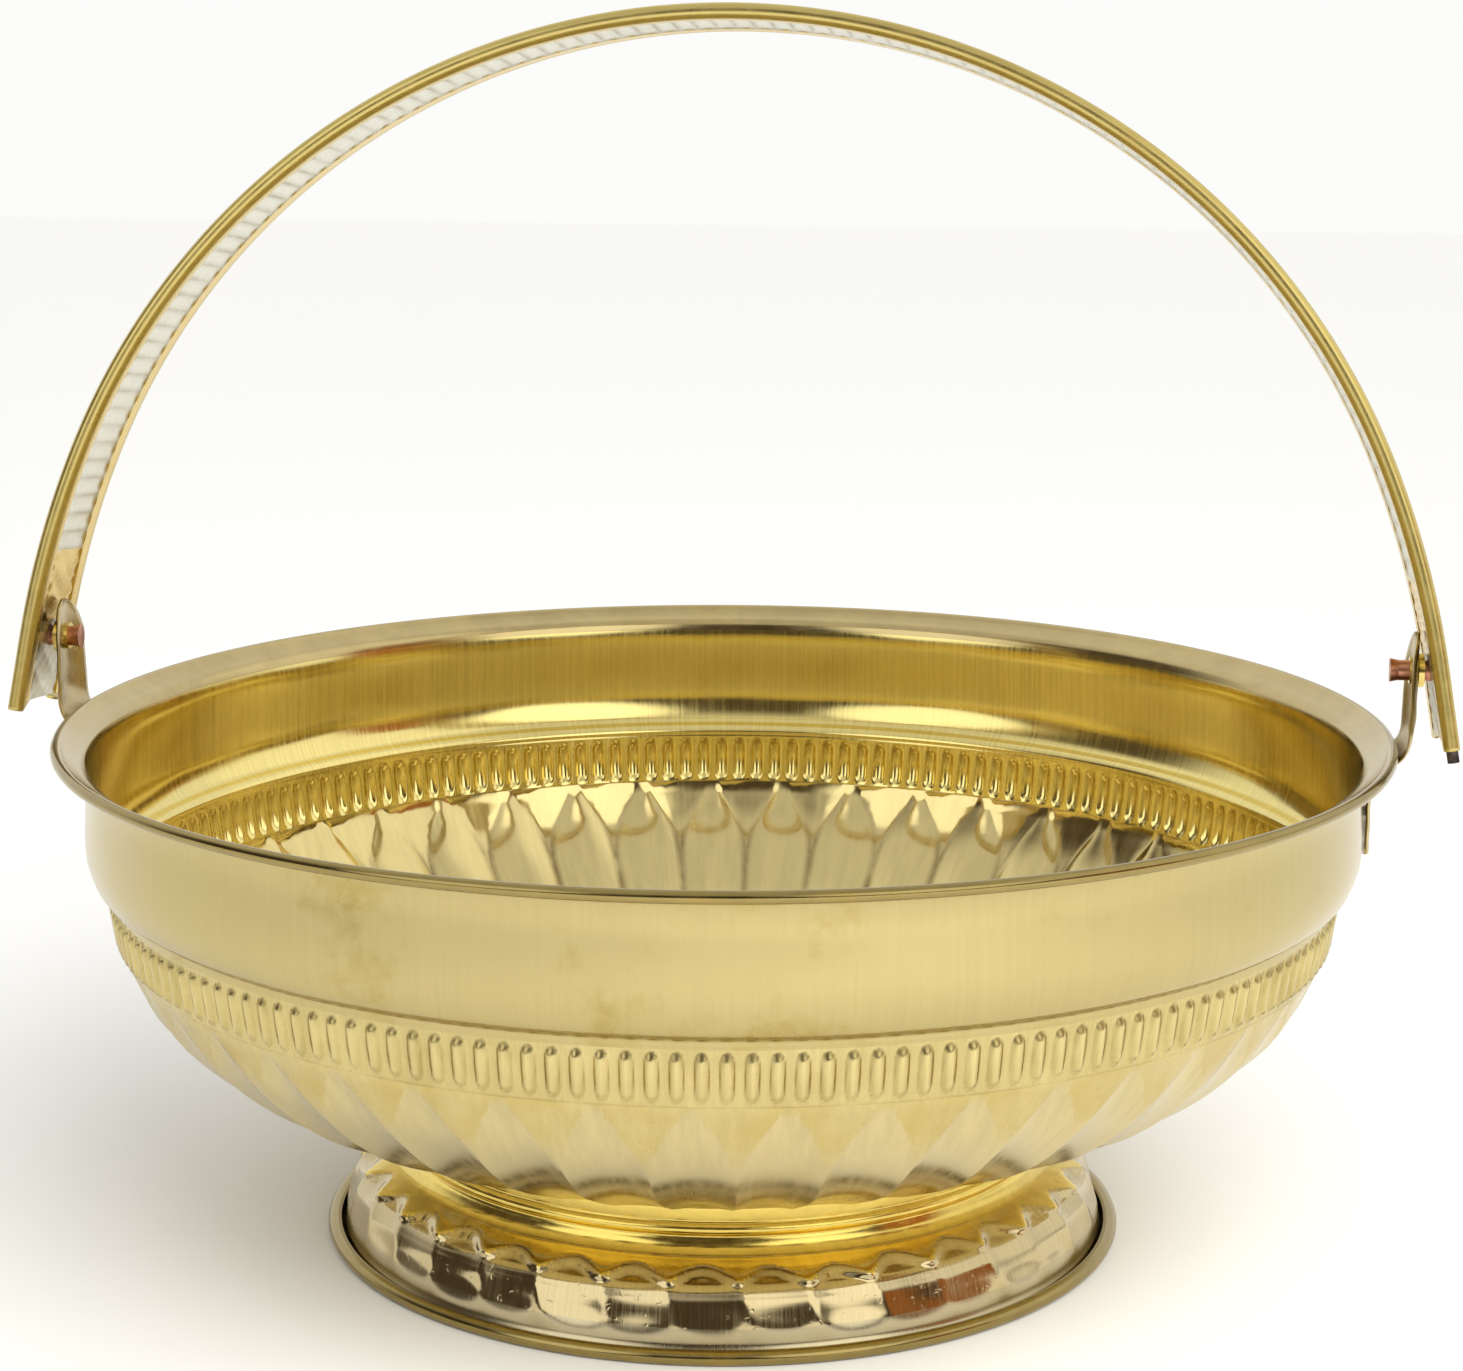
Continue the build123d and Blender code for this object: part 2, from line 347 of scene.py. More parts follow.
def plain_metal(name, colour, dark, rough, scale=420.0):
    """Copper, iron and solder: mottled colour, fine grain and small dents."""
    n = Nodes(name)
    point = n.object_point()
    mottle = n.ramp(n.noise(point, scale, 4.0, 0.6), 0.35, 0.7)
    grain = n.noise(point, scale * 4, 3.0, 0.6)
    n.link(n.mix(mottle, dark, colour), n.shader.inputs["Base Color"])
    n.shader.inputs["Metallic"].default_value = 1.0
    roughness = n.math("ADD", n.math("MULTIPLY", grain, 0.18), rough - 0.08)
    roughness = n.math("ADD", roughness, n.math("MULTIPLY", n.math("SUBTRACT", 1.0, mottle), 0.15),
                       clamp=True)
    n.link(roughness, n.shader.inputs["Roughness"])
    normal = n.bump(n.noise(point, scale * 1.5, 3.0, 0.5), 0.00003, 0.8)
    n.link(normal, n.shader.inputs["Normal"])
    return n.material


# linear colours
wall_brass = (0.53, 0.43, 0.19)
# painted reflection: the inside wall is a brighter, deeper gold than the outside, for the gold it mirrors
# from the wall opposite
inner_brass_painted_reflection = (0.88, 0.73, 0.28)
# painted shade: the beads are darkened to show the dark room they mirror
bead_brass_painted_dark = (0.36, 0.275, 0.10)
belly_brass = (0.68, 0.57, 0.29)
flange_brass = (0.58, 0.46, 0.22)
cream_brass = (0.86, 0.84, 0.72)
yellow_stain = (0.56, 0.42, 0.12)
# lighter than wall_brass on the same sheet: a painted highlight over the rib band
rib_brass_with_painted_highlight = (0.70, 0.575, 0.255)

looks = {
    "wall": brass("brass_outer_wall", wall_brass, 0.21, (150, 3), 0.1, 0.8, (0.40, 0.29, 0.06), dirt_and_shade=0.3,
                  brushed=0.05),
    "ribs": brass("brass_ribs", rib_brass_with_painted_highlight, 0.20, (150, 3), 0.2, 0.15, (0.36, 0.27, 0.09), dirt_and_shade=0.75),
    "belly": brass("brass_belly", belly_brass, 0.19, (50, 10), 0.1, 0.25, yellow_stain, dirt_and_shade=0.7),
    "bead": brass("brass_bead_painted_shade", bead_brass_painted_dark, 0.16, (8, 30), 0.3, 0.3),
    "flange": brass("brass_flange", flange_brass, 0.18, (6, 20), 0.12, 0.2, yellow_stain),
    "inner_wall": brass("brass_inner_wall_painted_reflection", inner_brass_painted_reflection, 0.15, (190, 3), 0.6, 0.15),
    "inner_belly": brass("brass_inner_belly", (0.76, 0.62, 0.28), 0.11, (40, 8), 0.15, 0.1,
                         (0.16, 0.10, 0.04), dirt_and_shade=0.8),
    "floor": brass("brass_floor", belly_brass, 0.17, (5, 90), 0.3, 0.15),
    # painted reflection: the concave neck's deep gold stands for the bowl's gold underside it mirrors
    "neck": brass("brass_foot_neck_painted_reflection", (0.85, 0.64, 0.16), 0.15, (10, 90), 0.3, 0.25),
    "facets": brass("brass_foot_facets", (0.60, 0.49, 0.27), 0.11, (200, 6), 0.1, 0.10, pits=0.3),
    "skirt": brass("brass_foot_skirt", (0.56, 0.48, 0.30), 0.20, (330, 2), 0.9, 0.15),
    "foot_inside": brass("brass_foot_inside", (0.60, 0.48, 0.20), 0.34, (120, 8), 0.6, 0.4),
    # painted reflection: the margin's saturated gold stands for the gold back curl it mirrors
    "margin": brass("brass_handle_margin_painted_reflection", (0.80, 0.58, 0.14), 0.22, (30, 30), 0.3, 0.3),
    "band": brass("brass_handle_band", (0.68, 0.54, 0.19), 0.30, (30, 30), 0.3, 0.25),
    # its blotches are stains; the marked darkening between the cells is painted shade
    "cells": brass("brass_handle_cells", cream_brass, 0.30, (30, 40), 0.25, 0.10, (0.42, 0.36, 0.22),
                   dirt_and_shade=0.75, pits=0.5),
    "ear": brass("brass_ear", (0.60, 0.50, 0.28), 0.27, (300, 2), 0.8, 0.35, pits=0.5),
    "washer": brass("brass_washer", (0.78, 0.62, 0.20), 0.18, (60, 20), 0.4, 0.2),
    "copper": plain_metal("rivet_copper", (0.74, 0.36, 0.23), (0.36, 0.14, 0.08), 0.27),
    "iron": plain_metal("wire_iron", (0.16, 0.13, 0.12), (0.05, 0.035, 0.03), 0.50),
    "solder": plain_metal("soft_solder", (0.55, 0.52, 0.46), (0.34, 0.31, 0.26), 0.34, 260.0),
}


# ---------------------------------------------------------------- bowl
def petal_half_width(height):
    u = np.clip((height - petal_shoulder) / (petal_tip - petal_shoulder), 0, 1)
    return petal_pitch / 2 * (1 - u**2)


def petal_lift(azimuths, radius, height):
    """How far a flute is pressed in here, how plain the surface beside it is, and the dirt in its edge."""
    half = petal_half_width(height)
    across = np.mod(azimuths, petal_pitch) - petal_pitch / 2
    if half < 0.02:
        return np.zeros_like(azimuths), np.ones_like(azimuths), np.zeros_like(azimuths)
    share = np.clip(1 - (across / half) ** 2, 0, 1)
    depth = petal_depth * (2 * half / petal_pitch) ** 0.6 * smooth_step(radius, 66, 80)
    beside = (share <= 1e-6) * smooth_step(height, 44, 54)
    # the dirt follows the crease between two flutes, on the part where they touch
    edge = np.exp(-((np.abs(across) - half) / 0.35) ** 2)
    edge = edge * (1 - smooth_step(height, 46, 54)) * smooth_step(radius, 76, 84)
    return depth * share, beside, edge


def petal_columns(height):
    """Azimuths of a belly ring: twelve steps across each flute and four across the strip beside it."""
    half = min(max(float(petal_half_width(height)), 1.2), petal_pitch / 2 - 0.1)
    inside = np.linspace(-half, half, 13)
    beside = np.linspace(half, petal_pitch - half, 5)[1:-1]
    one = np.concatenate([inside, beside]) + petal_pitch / 2
    return np.concatenate([one + petal_pitch * k for k in range(petals)])


def rib_lift_at(azimuths, radius, height):
    across = (np.mod(azimuths, rib_pitch) - rib_pitch / 2) * radians(1) * radius
    beyond = max(0.0, abs(height - rib_middle) - (rib_half_length - rib_end))
    distance = np.hypot(across, beyond * rib_half_width / rib_end)
    return rib_lift * (1 - smooth_step(distance / rib_half_width, 0.4, 1))


def rib_columns():
    steps = np.array([0, 0.14, 0.21, 0.29, 0.5, 0.71, 0.79, 0.86]) * rib_pitch
    return np.concatenate([steps + rib_pitch * k for k in range(petals * ribs_per_petal)])


def hand_made(azimuths, height):
    """Slow hills a few hundredths of a millimetre high, as spinning and planishing leave them."""
    a = np.radians(azimuths)
    return 0.035 * np.sin(9 * a + height / 6) + 0.025 * np.sin(17 * a - height / 9) \
        + 0.018 * np.sin(31 * a + height / 4)


even = np.arange(360) * 1.0
half_even = np.arange(720) * 0.5
plain_rows = curve_through([(62, bottom_height), (69, 26.3), (76.5, 28.9), (93.6, 36.8), (106.9, 48.0),
                            (113.2, 59.5)], 26)
rib_heights = (60.0, 60.6, 61.2, 62.0, 65.0, 67.6, 68.4, 69.0, 69.6)
wall_rows = curve_through([(116.9, 72.3), (117.9, 73.6), (119.0, 77.0), (119.2, 80.5), (119.05, 84.5),
                           (118.85, 88.0), (118.75, 90.8), (119.0, 93.3), (119.5, 94.8)], 17)
# over the ribs: a low ridge and a small step out to the wall
band_rows = [(114.78, 70.1, 0), (114.86, 70.5, 0), (114.82, 70.75, 0), (114.9, 71.0, -10),
             (115.1, 71.25, -20), (115.4, 71.55, -30), (115.9, 71.9, -35), (116.4, 72.1, -35)]
flange_rows = [(120.1, 95.15, -50), (121.5, 95.75, -65), (122.6, 96.3, -65)]
flange_top_radius = 122.35
flange_bottom = 92.5           # from here up the inside takes the flange's colour in place of the inner wall's painted reflection gold


def bowl_rows():
    """Every row of the wall from the floor's edge to the flange: what it is, then its place."""
    rows = []
    for r, z, normal in plain_rows:
        rows.append(("petals", r, z, normal))
    for z in rib_heights:
        share = (z - 59.5) / (69.6 - 59.5)
        rows.append(("ribs", 113.2 + share * 1.5, z, -9))
    rows.append(("half", 114.72, 69.85, 0))
    for r, z, normal in band_rows:
        rows.append(("plain", r, z, normal))
    for r, z, normal in wall_rows:
        rows.append(("plain", r, z, normal))
    for r, z, normal in flange_rows:
        rows.append(("plain", r, z, normal))
    return rows


def skin_ring(turned, row, inner, names):
    """One ring of the outer or the inner skin, with its ribs or flutes and its marks for dirt, tarnish and
    painted shade.
    """
    what, r, z, normal = row
    if what == "petals":
        azimuths = petal_columns(z)
    else:
        azimuths = {"ribs": rib_columns(), "half": half_even, "plain": even}[what]
    lift, beside = np.zeros_like(azimuths), np.zeros_like(azimuths)
    if what == "petals":
        lift, beside, edge = petal_lift(azimuths, r, z)
        beside = edge if inner else beside
    if what == "ribs":
        lift = rib_lift_at(azimuths, r, z)
        share = lift / rib_lift
        # the lands between the ribs get dirt (the 0.45 part), and the ribs' flanks get painted shade (the
        # 3.2 part)
        beside = np.clip(0.45 * (1 - share) + 3.2 * share * (1 - share), 0, 1)
    # just over the ribs the wall gets a weak mark, which fades out upwards by 74 mm
    if what == "plain":
        beside = np.full_like(azimuths, 0.25 * float(np.clip((74 - z) / 4, 0, 1)))
    lift = lift + hand_made(azimuths, z) * smooth_step(r, 80, 100) - (sheet if inner else 0)
    n = radians(normal)
    turned.ring(azimuths, r + lift * cos(n), z + lift * sin(n), names[(what, inner)], beside)


def make_bowl():
    kinds = ["wall", "ribs", "belly", "bead", "flange", "inner_wall", "inner_belly", "floor"]
    index = {k: i for i, k in enumerate(kinds)}
    names = {}
    for what in ("petals", "ribs", "half", "plain"):
        names[(what, False)] = index[{"petals": "belly", "ribs": "ribs"}.get(what, "wall")]
        names[(what, True)] = index["inner_belly" if what == "petals" else "inner_wall"]
    flared = {key: index["flange"] for key in names}
    floor_radii = (6, 20, 36, 50)
    turned = Turned()
    for r in floor_radii:
        turned.ring(even, r, bottom_height, index["belly"])
    first = turned.rings[0]
    rows = bowl_rows()
    for row in rows:
        skin_ring(turned, row, False, names)
    # the rim is rolled round its wire, from the flange's underside over the outside to its top
    for turn in (197, 225, 255, 285, 315, 345, 15, 45, 75, 105, 135, 163):
        t = radians(turn)
        turned.ring(even, rim_centre[0] + rim_bead / 2 * cos(t), rim_centre[1] + rim_bead / 2 * sin(t),
                    index["flange" if turn in (135, 163) else "bead"])
    turned.ring(even, flange_top_radius, rim_centre[1] + 0.05, index["flange"])
    for r, z, _ in reversed(flange_rows[:-1]):
        turned.ring(even, r + sheet * 0.3, z + sheet * 0.95, index["flange"])
    for row in reversed(rows[:-len(flange_rows)]):
        skin_ring(turned, row, True, names if row[2] < flange_bottom else flared)
    for r in reversed(floor_radii):
        turned.ring(even, r, bottom_height + sheet, index["floor"])
    last = turned.rings[-1]
    turned.pole(bottom_height, first, index["belly"], True)
    turned.pole(bottom_height + sheet, last, index["floor"], False)
    turned.torus(rim_centre, rim_bead / 2 - sheet, 360, 10, index["bead"])
    piece = mesh_object("bowl_shell", turned.points, turned.faces, turned.kinds,
                        [looks[k] for k in kinds], turned.marks)
    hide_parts("bowl")
    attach(piece, "vessel")


# ---------------------------------------------------------------- foot
foot_columns = 16              # columns in each facet
facet_slant = 0.22             # how many degrees the facets' edges turn per millimetre of height
facet_height = 14.3            # mean height of their tops
facet_arch = 1.5               # how much lower their corners are
facet_rise = (3.0, 7.6)        # they grow out of the smooth skirt between these heights
skirt_height = 5.2             # the skirt is brushed below this height
rng = np.random.default_rng(7)
facet_tilt = rng.uniform(-1, 1, facets)
facet_bulge = rng.uniform(0.3, 1.0, facets)
facet_top = rng.uniform(-0.5, 0.5, facets)
facet_shift = rng.uniform(-0.09, 0.09, facets)


def facet_lift(azimuths, height):
    """Hammered facets round the skirt: hollow panels with arched tops, and where they reach."""
    pitch = 360 / facets
    slant = (height - 8) * facet_slant
    place = (azimuths + slant) / pitch
    cell = np.floor(place).astype(int) % facets
    across = (place - np.floor(place)) * 2 - 1
    across = across + facet_shift[cell] * (1 - across**2)
    top = facet_height + 0.5 * facet_top[cell] - facet_arch * across**2
    fade = (1 - smooth_step(height, top - 0.7, top + 0.1)) * smooth_step(height, *facet_rise)
    share = place - np.floor(place)
    edges = facet_tilt[cell] * (1 - share) + facet_tilt[(cell + 1) % facets] * share
    hollow = (0.2 + 0.5 * facet_bulge[cell]) * (1 - across**2)
    lean_back = 0.09 * np.clip(height - 4.5, 0, 6.5)
    return (0.3 * edges - hollow - lean_back) * fade, height < top


def make_foot():
    kinds = ["neck", "facets", "skirt", "bead", "foot_inside"]
    index = {k: i for i, k in enumerate(kinds)}
    columns = np.arange(facets * foot_columns) * 360 / (facets * foot_columns)
    turned = Turned()
    collar, inner_collar = 61.0, 61.0 - sheet
    turned.ring(columns, 57, bottom_height, index["neck"])
    turned.ring(columns, collar, bottom_height, index["neck"])
    # a raised ridge with a groove each side runs round the collar
    for r, z in ((collar, 23), (collar, 21.2), (collar - 0.15, 20.9), (collar + 0.2, 20.6),
                 (collar + 0.65, 20.2), (collar + 0.8, 19.5), (collar + 0.65, 18.9), (collar + 0.15, 18.5),
                 (collar - 0.1, 18.3), (collar + 0.05, 18.0)):
        turned.ring(columns, r, z, index["neck"])
    neck_rows = curve_through([(61.05, 18.0), (61.5, 16.6), (62.7, 15.3), (64.3, 14.7), (66.6, 14.1),
                               (68.4, 13.55)], 16, 180)[1:]
    skirt_rows = curve_through([(68.4, 13.55), (69.6, 13.0), (70.5, 12.1), (71.1, 11.2), (71.7, 9.8),
                                (72.3, 6.5), (72.6, 3.0)], 26, 180)[1:]
    for r, z, normal in neck_rows + skirt_rows:
        lift, hammered = facet_lift(columns, z)
        n = radians(normal)
        below = index["facets" if z > skirt_height else "skirt"]
        kind = [below if inside else index["neck"] for inside in hammered]
        turned.ring(columns, r + lift * cos(n), z + lift * sin(n), kind)
    # the sheet turns out at the bottom and rolls up and over its wire, leaving a dark gap
    turned.ring(columns, 72.85, 1.9, index["skirt"])
    inner_roll, outer_roll = foot_bead / 2 - sheet, foot_bead / 2
    for turn in (215, 250, 285, 320, 355, 30, 65, 100, 135, 155):
        t = radians(turn)
        turned.ring(columns, foot_centre[0] + inner_roll * cos(t), foot_centre[1] + inner_roll * sin(t),
                    index["bead"])
    for turn in (155, 140, 115, 90, 65, 40, 15, 350, 325, 300, 275, 250, 238):
        t = radians(turn)
        turned.ring(columns, foot_centre[0] + outer_roll * cos(t), foot_centre[1] + outer_roll * sin(t),
                    index["bead"])
    for r, z in ((72.9, 0.35), (72.3, 1.2), (72.0, 3.0)):
        turned.ring(columns, r, z, index["foot_inside"])
    for r, z, normal in reversed((neck_rows + skirt_rows)[:-1]):
        lift = facet_lift(columns, z)[0] - sheet
        n = radians(normal)
        turned.ring(columns, r + lift * cos(n), z + lift * sin(n), index["foot_inside"])
    for r, z in ((inner_collar, 18.2), (inner_collar, 21), (inner_collar, bottom_height - sheet),
                 (57, bottom_height - sheet)):
        turned.ring(columns, r, z, index["foot_inside"])
    turned.close(index["foot_inside"])
    piece = mesh_object("foot_shell", turned.points, turned.faces, turned.kinds,
                        [looks[k] for k in kinds], turned.marks)
    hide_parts("foot")
    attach(piece, "vessel")


# ---------------------------------------------------------------- handle
lean = 6.0
crown_height, crown_bend, crown_angle = 117.8, 131.0, 67.4
haunch_bend, haunch_angle, leg_length = 168.0, 13.1, 13.9
strip_sheet, edge_bead, edge_spacing, sheet_setback = 0.4, 3.0, 22.8, 1.8
cell_pitch = 3.65
cell_middle = -1.1             # the cells sit nearer to the front bead
cell_half_length = 7.9
cell_lift = 0.42
cell_slant = 0.02              # how far a cell's line runs along the band per width
rows_per_cell = 6
cell_zone = 8                  # half width of the pale metal round the cells
plain_stretch = (17, 31)       # distances from the band's end where its inner face isn't pale
relief_stretch = (26, 34)      # distances from the end where the cells turn into rough relief
square_end = 8                 # the last rows of the band turn straight over this length
rivet_hole_radius = 1.96

crown_length = crown_bend * radians(crown_angle)
haunch_length = haunch_bend * radians(haunch_angle)
half_length = crown_length + haunch_length + leg_length
pivot = np.array([0, 0, pivot_height])
arch_x = np.array([1.0, 0, 0])
arch_up = np.array([0, sin(radians(lean)), cos(radians(lean))])
arch_back = np.array([0, cos(radians(lean)), -sin(radians(lean))])


def arch(s):
    """Place and slope of the arch's middle line at the lengths s from the crown."""
    side = np.sign(s)
    s = np.abs(s)
    bend_one = radians(crown_angle)
    bend_two = radians(crown_angle + haunch_angle)
    angle = np.where(s < crown_length, s / crown_bend,
                     np.minimum(bend_one + (s - crown_length) / haunch_bend, bend_two))
    first = np.minimum(angle, bend_one)
    x = crown_bend * np.sin(first) + haunch_bend * (np.sin(angle) - np.sin(first))
    up = crown_height - crown_bend * (1 - np.cos(first)) - haunch_bend * (np.cos(first) - np.cos(angle))
    straight = np.maximum(s - crown_length - haunch_length, 0)
    x = x + straight * np.cos(angle)
    up = up - straight * np.sin(angle)
    return side * x, up, side * angle


def band_outline():
    """The band's section: back offset, outward offset and which part a point belongs to."""
    half = edge_spacing / 2
    inner_y, outer_y = -edge_bead / 2, -edge_bead / 2 + strip_sheet
    outer, inner = edge_bead / 2 - 0.01, edge_bead / 2 - strip_sheet
    stations = (-10.2, -9.3, -9.0, -8.7, -8.2, -7.4, -5.2, -3.0, -0.8, 1.4, 3.6, 5.4, 6.2, 6.6, 6.9,
                7.4, 10.2)
    points = [(w, inner_y, "inner_face") for w in stations]
    turns = (-90, -70, -50, -30, -10, 10, 30, 50, 70, 90, 115, 140, 165, 190, 226)
    points += [(half + outer * cos(radians(t)), outer * sin(radians(t)), "bead") for t in turns]
    points += [(half + inner * cos(radians(t)), inner * sin(radians(t)), "roll")
               for t in reversed(turns[:-1])]
    points += [(w, outer_y, "outer_face") for w in reversed(stations)]
    turns = (270, 250, 230, 210, 190, 170, 150, 130, 110, 90, 65, 40, 15, -10, -46)
    points += [(-half + inner * cos(radians(t)), inner * sin(radians(t)), "roll") for t in turns[:-1]]
    points += [(-half + outer * cos(radians(t)), outer * sin(radians(t)), "bead")
               for t in reversed(turns)]
    return points


def cell_lift_at(s, w):
    """Embossed cells across the band, with rounded ends and plain margins."""
    along = s + cell_slant * w
    across = (np.mod(along / cell_pitch, 1) - 0.5) * cell_pitch
    aside = np.abs(w - cell_middle)
    beyond = np.maximum(0, aside - (cell_half_length - cell_pitch / 2))
    distance = np.hypot(across, beyond) / (cell_pitch / 2)
    pad = np.clip(1 - distance**4, 0, 1)
    near_pivot = smooth_step(np.abs(s), half_length - relief_stretch[1], half_length - relief_stretch[0])
    # rough relief from two crossing waves
    rough = 0.5 + 0.28 * np.sin(2.1 * s + 1.3 * w) + 0.22 * np.sin(1.1 * s - 2.3 * w + 1)
    rough = rough * (aside < cell_half_length)
    return cell_lift * (pad * (1 - near_pivot) + rough * near_pivot)


def make_band():
    kinds = ["band", "cells", "margin"]
    index = {k: i for i, k in enumerate(kinds)}
    outline = band_outline()
    w0 = np.array([p[0] for p in outline])
    y0 = np.array([p[1] for p in outline])
    part = [p[2] for p in outline]
    flat = np.array([p in ("inner_face", "outer_face") for p in part])
    count = int(2 * half_length / cell_pitch * rows_per_cell)
    points, marks = [], []
    for base in np.linspace(-half_length, half_length, count + 1):
        ends = smooth_step(half_length - abs(base), 0, square_end)
        s = np.where(flat, base - cell_slant * w0 * ends, base)
        limit = np.where(flat, half_length - sheet_setback, half_length)
        s = np.clip(s, -limit, limit)
        lift = np.where(flat, cell_lift_at(s, np.where(flat, w0, 0)), 0)
        x, up, angle = arch(s)
        y = y0 + lift * 0.9
        outward = np.sin(angle)[:, None] * arch_x + np.cos(angle)[:, None] * arch_up
        place = pivot + x[:, None] * arch_x + up[:, None] * arch_up + y[:, None] * outward \
            + w0[:, None] * arch_back
        points.append(place)
        marks.append(np.where(flat, np.clip(lift / cell_lift, 0, 1), 0))
    points = np.concatenate(points)
    # painted shade: the mark is strongest in the hollows between the cells, where the cells' material
    # darkens
    marks = 1 - np.concatenate(marks)
    n = len(outline)
    faces, kinds_of_faces = [], []
    for i in range(count):
        for j in range(n):
            k = (j + 1) % n
            faces.append((i * n + j, (i + 1) * n + j, (i + 1) * n + k, i * n + k))
            if part[j] != "inner_face" or part[k] != "inner_face":
                kinds_of_faces.append(index["band"])
                continue
            from_end = half_length - abs((i + 0.5) / count * 2 - 1) * half_length
            plain = plain_stretch[0] < from_end < plain_stretch[1]
            raised = max(abs(w0[j] - cell_middle), abs(w0[k] - cell_middle)) < cell_zone
            kinds_of_faces.append(index["cells" if raised and not plain else "margin"])
    faces.append(tuple(range(n)))
    faces.append(tuple(reversed(range(count * n, count * n + n))))
    kinds_of_faces += [index["band"]] * 2
    piece = mesh_object("handle_band", points, faces, kinds_of_faces, [looks[k] for k in kinds], marks)
    drill(piece)
    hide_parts("handle_strip")
    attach(piece, "handle")


def drill(piece):
    """Cut the two rivet holes along the pivot axis."""
    bpy.ops.mesh.primitive_cylinder_add(vertices=40, radius=rivet_hole_radius * MM, depth=0.3,
                                        location=(0, 0, pivot_height * MM), rotation=(0, pi / 2, 0))
    cutter = bpy.context.object
    cut = piece.modifiers.new("holes", "BOOLEAN")
    cut.operation = "DIFFERENCE"
    cut.solver = "EXACT"
    cut.object = cutter
    shaped = bpy.data.meshes.new_from_object(piece.evaluated_get(bpy.context.evaluated_depsgraph_get()))
    piece.modifiers.clear()
    piece.data = shaped
    bpy.data.objects.remove(cutter)


# ---------------------------------------------------------------- ears
ear_thickness = 0.8
ear_gutter = 1.3               # how far the plate's edges bend in towards the bowl
ear_turn = (97, 103)           # the plate follows the wall below these heights and is a gutter above
wall_radius = 119
ear_line = [(127.9, 118.2), (127.9, 111.0), (127.9, 104.0), (127.7, 100.9), (126.95, 98.4),
            (125.8, 96.1), (123.3, 94.0), (121.2, 92.3), (120.3, 90.6), (120.15, 88.3), (120.15, 82.0),
            (120.15, 76.0)]
# half of the width at each height, from the tail's tip to the filed top
ear_heights = (76.0, 76.6, 78.0, 87.0, 91.0, 95.0, 99.0, 105.0, 111.0, 114.0, 116.2, 117.5, 118.2)
ear_widths = (0.6, 3.6, 4.8, 5.0, 6.6, 8.8, 8.9, 8.1, 8.0, 6.9, 5.0, 2.9, 0.5)


def make_ear(side):
    """A strap bent under the rim, hollow like a gutter, with softened edges."""
    sign = 1 if side == "right" else -1
    rows = curve_through(ear_line, 64)
    across = np.linspace(-1, 1, 15)
    points = []
    for x, z, normal in rows:
        half = float(np.interp(z, ear_heights, ear_widths))
        n = radians(normal)
        bent = float(smooth_step(z, *ear_turn))
        gutter = ear_gutter * bent * (across * half / 8) ** 2
        follow = (across * half) ** 2 / (2 * wall_radius) * (1 - bent)
        dent = 0.05 * np.sin(1.1 * z + 5 * across)
        inward = gutter + follow
        soft = np.where(np.abs(across) == 1, 0.15, 1.0) * ear_thickness / 2
        for face in (1, -1):
            order = across if face == 1 else across[::-1]
            reach = (soft if face == 1 else soft[::-1]) * face
            shift = (inward + dent) if face == 1 else (inward + dent)[::-1]
            place = np.stack([x - shift + reach * cos(n), order * half, z + reach * sin(n)], 1)
            points.append(place * np.array([sign, 1, 1]))
    points = np.concatenate(points)
    count = 2 * len(across)
    faces = [(i * count + j, (i + 1) * count + j, (i + 1) * count + (j + 1) % count,
              i * count + (j + 1) % count)
             for i in range(len(rows) - 1) for j in range(count)]
    faces += [tuple(reversed(range(count))), tuple(range((len(rows) - 1) * count, len(rows) * count))]
    if sign > 0:
        faces = [tuple(reversed(face)) for face in faces]
    piece = mesh_object(f"ear_plate_{side}", points, faces, [0] * len(faces), [looks["ear"]])
    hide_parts(f"ear_{side}")
    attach(piece, "vessel")


make_bowl()
make_foot()
make_band()
make_ear("left")
make_ear("right")

# ---------------------------------------------------------------- CAD nodes that stay
finish_of_node = {
    "rim_wire": "iron", "foot_wire": "iron", "handle_wire_front": "iron", "handle_wire_back": "iron",
    "foot_solder_ring": "solder", "ear_solder_left": "solder", "ear_solder_right": "solder",
    "rivet_left": "copper", "rivet_right": "copper",
    "rivet_ring_left": "washer", "rivet_ring_right": "washer",
    "spacer_left": "washer", "spacer_right": "washer",
}
for node, finish in finish_of_node.items():
    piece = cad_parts[node]
    piece.data.materials.clear()
    piece.data.materials.append(looks[finish])


# ---------------------------------------------------------------- studio
def make_floor():
    """A plain pale table, six metres wide."""
    bpy.ops.mesh.primitive_plane_add(size=6, location=(0, 0, 0))
    floor = bpy.context.object
    floor.name = "studio_floor"
    n = Nodes("studio_floor")
    n.shader.inputs["Base Color"].default_value = (0.93, 0.93, 0.92, 1)
    n.shader.inputs["Roughness"].default_value = 0.9
    n.shader.inputs["Specular IOR Level"].default_value = 0.0
    floor.data.materials.append(n.material)


def add_lamp(name, kind, azimuth, elevation, distance, energy):
    """A lamp that shines on the bowl from that direction. The metal mirrors the room and not the lamp."""
    data = bpy.data.lights.new(name, kind)
    data.energy = energy
    lamp = bpy.data.objects.new(name, data)
    bpy.context.scene.collection.objects.link(lamp)
    direction = Vector(toward(azimuth, elevation))
    lamp.location = direction * distance
    lamp.rotation_euler = direction.to_track_quat("Z", "Y").to_euler()
    lamp.visible_glossy = False
    return lamp


def light_table():
    """Soft even light for the table, and a little more on the right of the camera."""
    sun = add_lamp("table_light", "SUN", 25, 52, 0, 0.55)
    sun.data.angle = radians(70)
    side = add_lamp("side_light", "AREA", 24, 42, 0.95, 5.2)
    side.data.size = 0.7
    side.visible_camera = False


camera_azimuth = 6.6
backdrop = (0.97, 0.97, 0.955)


def toward(azimuth, elevation):
    """A direction, with its azimuth counted from the camera's side towards the right."""
    a, e = radians(camera_azimuth + azimuth), radians(elevation)
    return (sin(a) * cos(e), -cos(a) * cos(e), sin(e))


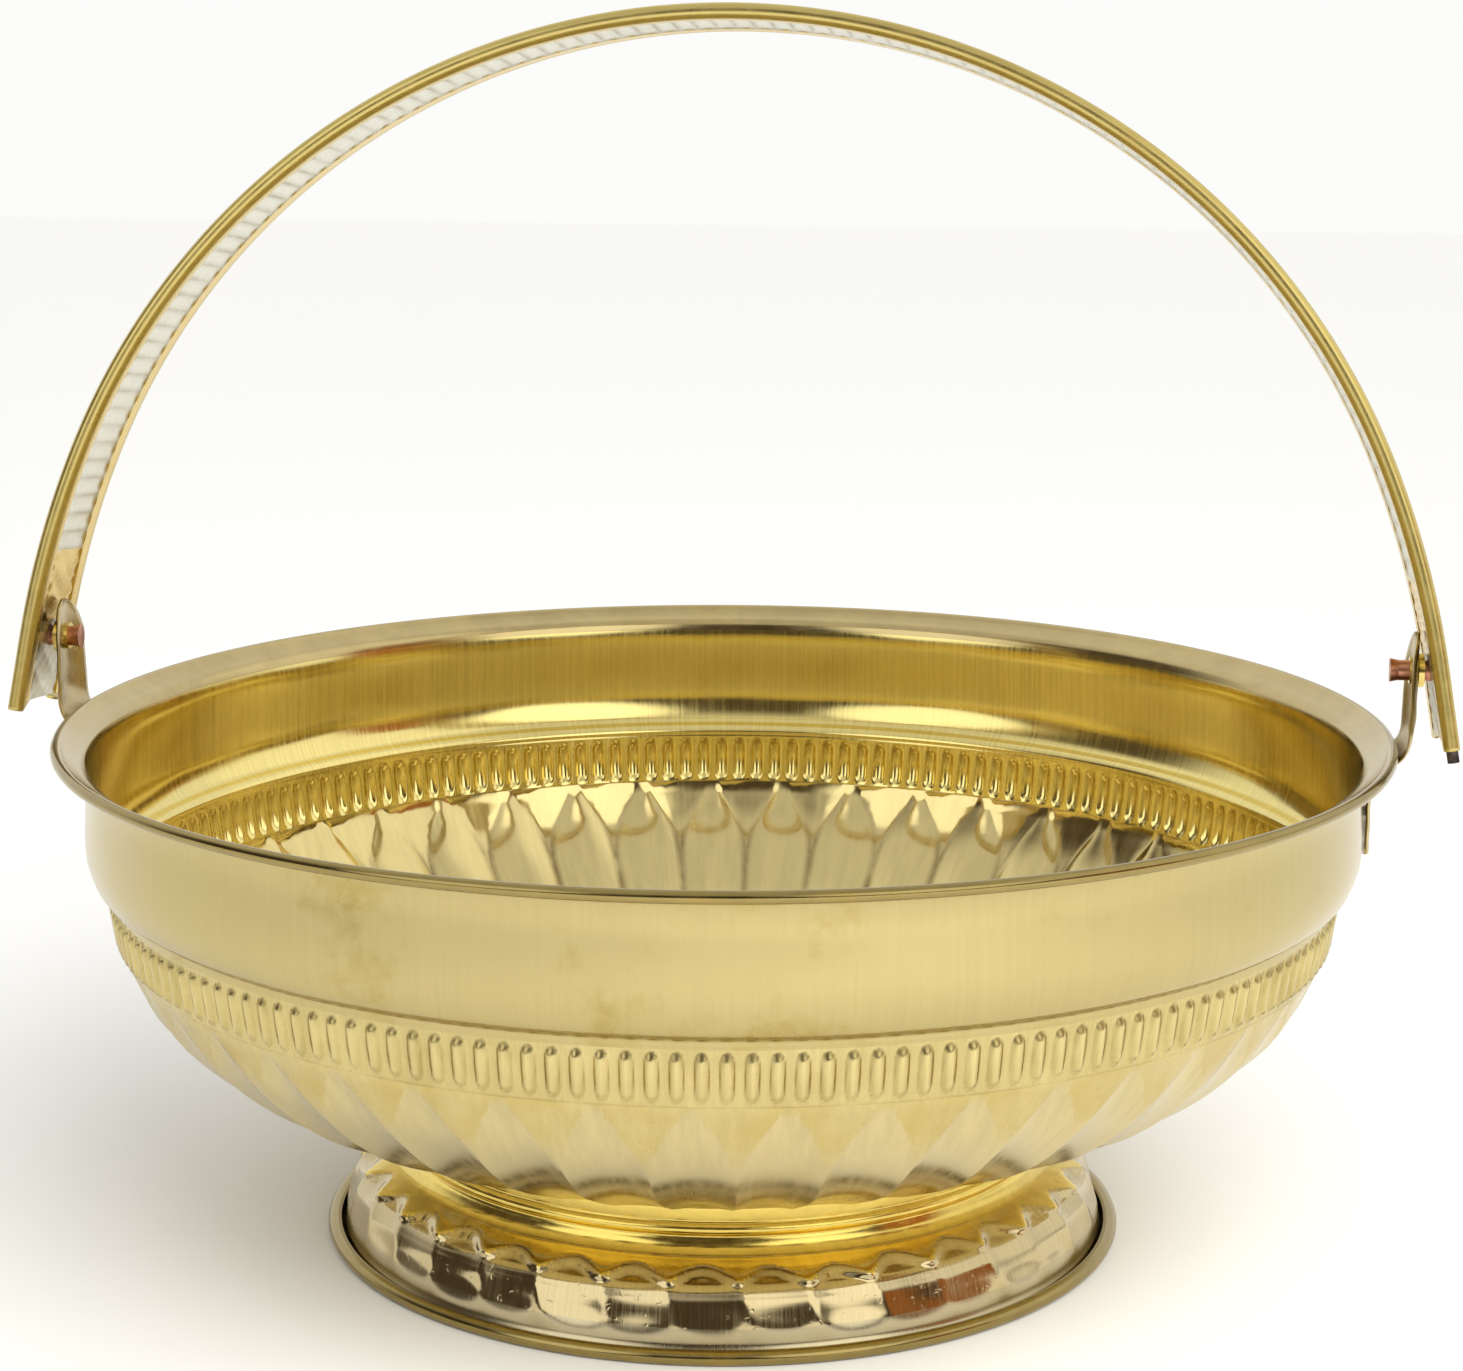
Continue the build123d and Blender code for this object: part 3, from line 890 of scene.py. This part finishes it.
def make_room():
    """A dim room round the table: pale ceiling, white sweep behind, soft boxes and one copper patch.

    The camera itself sees a plain backdrop, as pale as the floor's far end.
    """
    world = bpy.data.worlds.new("studio")
    bpy.context.scene.world = world
    n = Nodes(world)
    direction = n.vector("NORMALIZE", n.add("ShaderNodeTexCoord").outputs["Generated"])

    def closeness(azimuth, elevation):
        node = n.add("ShaderNodeVectorMath", operation="DOT_PRODUCT")
        n.link(direction, node.inputs[0])
        node.inputs[1].default_value = toward(azimuth, elevation)
        return node.outputs["Value"]

    height = closeness(0, 90)
    room = n.mix(n.ramp(height, 0.42, 0.78), (0.085, 0.065, 0.045), (0.74, 0.73, 0.71))
    room = n.mix(n.ramp(closeness(180, 5), 0.10, 0.55), room, (0.95, 0.95, 0.94))
    # each patch: its direction, the cosines at which it starts and is full, and its colour
    for azimuth, elevation, start, full, colour in (
        (-44, 24, 0.925, 0.955, (1.5, 1.5, 1.46)),
        (34, 26, 0.92, 0.955, (1.7, 1.68, 1.6)),
        (92, 30, 0.80, 0.93, (1.15, 1.14, 1.1)),
        (68, 8, 0.972, 0.985, (0.42, 0.16, 0.05)),
    ):
        room = n.mix(n.ramp(closeness(azimuth, elevation), start, full), room, colour)
    below = n.ramp(height, 0.0, -0.08)
    room = n.mix(below, room, (0.9, 0.9, 0.9))
    seen = n.add("ShaderNodeLightPath").outputs["Is Camera Ray"]
    n.link(n.mix(seen, room, backdrop), n.shader.inputs["Color"])


make_floor()
make_room()
light_table()

# ---------------------------------------------------------------- camera
camera_distance, camera_height = 613.3, 229.5
camera_pitch, camera_roll = 11.505, -0.234
camera_nudge = 0.8             # sideways, to the camera's right
camera_lens = 81.7

lens = bpy.data.cameras.new("camera")
lens.sensor_width = 36
lens.lens = camera_lens
lens.clip_start = 0.01
camera = bpy.data.objects.new("camera", lens)
bpy.context.scene.collection.objects.link(camera)
turn = radians(camera_azimuth)
right = Vector((cos(turn), sin(turn), 0))
camera.location = (Vector((sin(turn), -cos(turn), 0)) * camera_distance
                   + right * camera_nudge + Vector((0, 0, camera_height))) * MM
camera.rotation_euler = (radians(90 - camera_pitch), radians(camera_roll), turn)
bpy.context.scene.camera = camera
bpy.context.scene.view_settings.view_transform = "Standard"
